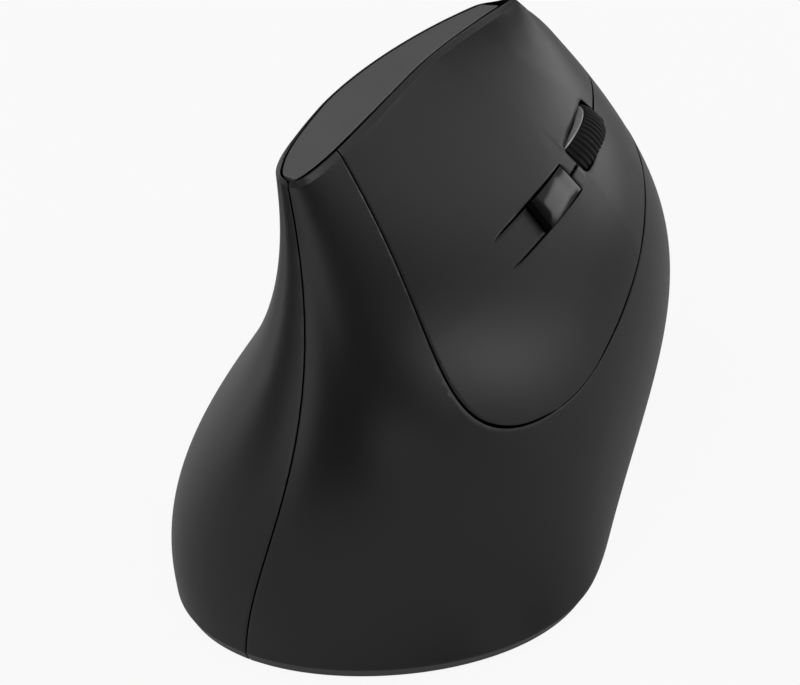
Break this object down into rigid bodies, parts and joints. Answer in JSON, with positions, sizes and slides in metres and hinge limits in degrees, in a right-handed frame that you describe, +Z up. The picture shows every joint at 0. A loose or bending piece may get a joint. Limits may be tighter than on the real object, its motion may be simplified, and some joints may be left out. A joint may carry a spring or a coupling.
{
  "type": "vertical ergonomic mouse",
  "caption": "Upright right-handed computer mouse with a tall crest, two finger keys, a scroll wheel, a DPI key and thumb keys on a flat base.",
  "frame": {"origin": "under the middle of the body, on the plane of the glide feet", "axes": "+Z up, +Y to the front where the keys end, +X to the user's right"},
  "size_m": [0.0702, 0.1141, 0.0722],
  "materials": {
    "black_plastic": "fine matt",
    "top_plastic": "matt, lighter",
    "base_plastic": "matt",
    "key_gloss": "glossy",
    "tread": "ribbed",
    "hub_silver": "silver",
    "inner_plastic": "matt",
    "switch_plastic": "matt",
    "plunger_plastic": "smooth",
    "board": "lacquered",
    "steel": "plated",
    "lens": "clear",
    "battery_jacket": "printed film without lettering",
    "receiver_body": "plug and cap",
    "knob": "smooth",
    "glide": "slippery"
  },
  "bodies": {
    "case": {"palm_shell": "black_plastic", "thumb_shell": "black_plastic", "top_panel": "top_plastic", "key_panel": "black_plastic", "yoke_pin": "steel", "pin_lugs": "inner_plastic", "left_switch": "switch_plastic", "right_switch": "switch_plastic", "middle_switch": "switch_plastic", "dpi_switch": "switch_plastic", "forward_switch": "switch_plastic", "back_switch": "switch_plastic", "key_board": "board", "thumb_board": "board", "main_board": "board", "inner_frame": "inner_plastic", "sensor_chip": "switch_plastic", "sensor_lens": "lens", "base_plate": "base_plastic", "battery": "battery_jacket", "contact_plate": "steel", "contact_spring": "steel", "power_switch": "switch_plastic", "glide_feet": "glide", "case_screws": "steel", "board_screws": "steel"},
    "left_key": {"left_button": "black_plastic", "left_plunger": "plunger_plastic"},
    "right_key": {"right_button": "black_plastic", "right_plunger": "plunger_plastic"},
    "wheel_carrier": {"wheel_yoke": "inner_plastic", "wheel_encoder": "switch_plastic", "middle_plunger": "plunger_plastic"},
    "wheel": {"wheel_tyre": "tread", "wheel_hub": "hub_silver", "wheel_axle": "steel"},
    "dpi_key": {"dpi_button": "key_gloss", "dpi_plunger": "plunger_plastic"},
    "forward_key": {"forward_button": "key_gloss", "forward_plunger": "plunger_plastic"},
    "back_key": {"back_button": "key_gloss", "back_plunger": "plunger_plastic"},
    "power_knob": {"power_slider": "knob"},
    "battery_cover": {"battery_door": "base_plastic"},
    "receiver": {"usb_receiver": "receiver_body"}
  },
  "joints": [
    {"name": "left_click", "type": "hinge", "parent": "case", "child": "left_key", "pos_m": [-0.00212, -0.00312, 0.06268], "axis": [-0.819, 0.0384, 0.5724], "range_deg": [0, 0.6], "stiffness_Nm_per_rad": 2},
    {"name": "right_click", "type": "hinge", "parent": "case", "child": "right_key", "pos_m": [0.01892, -0.00777, 0.04227], "axis": [-0.5333, 0.3025, 0.79], "range_deg": [0, 0.6], "stiffness_Nm_per_rad": 2},
    {"name": "wheel_press", "type": "hinge", "parent": "case", "child": "wheel_carrier", "pos_m": [0.00472, 0.01821, 0.04639], "axis": [-0.678, -0.2235, 0.7002], "range_deg": [0, 1.7], "stiffness_Nm_per_rad": 0.6},
    {"name": "wheel_spin", "type": "hinge", "parent": "wheel_carrier", "child": "wheel", "pos_m": [0.00437, 0.03004, 0.04983], "axis": [0.678, 0.2235, -0.7002], "continuous": true},
    {"name": "dpi_press", "type": "slide", "parent": "case", "child": "dpi_key", "axis": [-0.7018, -0.0862, -0.7071], "range_m": [0, 0.0005], "stiffness_N_per_m": 2000},
    {"name": "forward_press", "type": "slide", "parent": "case", "child": "forward_key", "axis": [1, 0, 0], "range_m": [0, 0.0005], "stiffness_N_per_m": 2000},
    {"name": "back_press", "type": "slide", "parent": "case", "child": "back_key", "axis": [1, 0, 0], "range_m": [0, 0.0005], "stiffness_N_per_m": 2000},
    {"name": "power_slide", "type": "slide", "parent": "case", "child": "power_knob", "axis": [0, 1, 0], "range_m": [0, 0.003]},
    {"name": "door_open", "type": "hinge", "parent": "case", "child": "battery_cover", "pos_m": [-0.004, 0.0123, 0.0006], "axis": [1, 0, 0], "range_deg": [0, 60]},
    {"name": "receiver_pull", "type": "slide", "parent": "case", "child": "receiver", "axis": [0, 0, -1], "range_m": [0, 0.014]}
  ]
}
